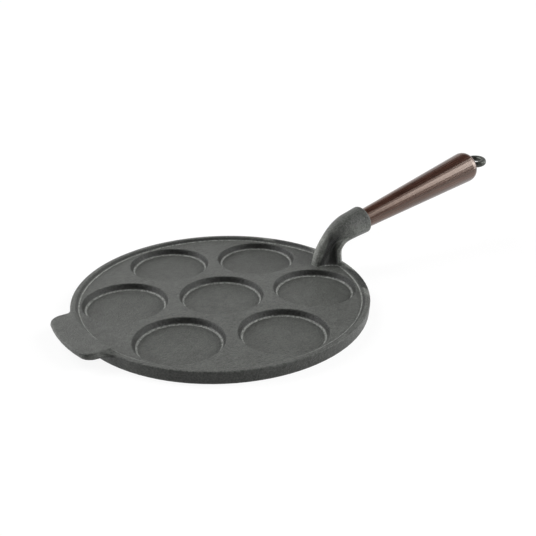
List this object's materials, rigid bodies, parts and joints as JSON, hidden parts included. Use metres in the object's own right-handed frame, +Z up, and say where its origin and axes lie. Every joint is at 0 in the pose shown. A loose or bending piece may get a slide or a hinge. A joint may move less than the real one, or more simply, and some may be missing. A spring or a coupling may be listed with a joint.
{
  "type": "pancake pan",
  "caption": "Round cast iron pan with shallow round wells for small pancakes, a helper grip and a rising socket that holds a turned wooden handle with a hanging eye.",
  "frame": {"origin": "centre of the flat underside of the round plate", "axes": "+X from the centre towards the handle, +Y across it, +Z up; the helper grip is at -X"},
  "size_m": [0.4275, 0.23, 0.0747],
  "materials": {
    "cast_iron": "fine sand-cast grain, satin",
    "walnut": "dark red-brown, lacquered",
    "blackened_iron": "blackened, satin"
  },
  "bodies": {
    "root": {"pan_casting": "cast_iron", "wood_handle": "walnut", "eye_bolt": "blackened_iron"}
  },
  "joints": []
}
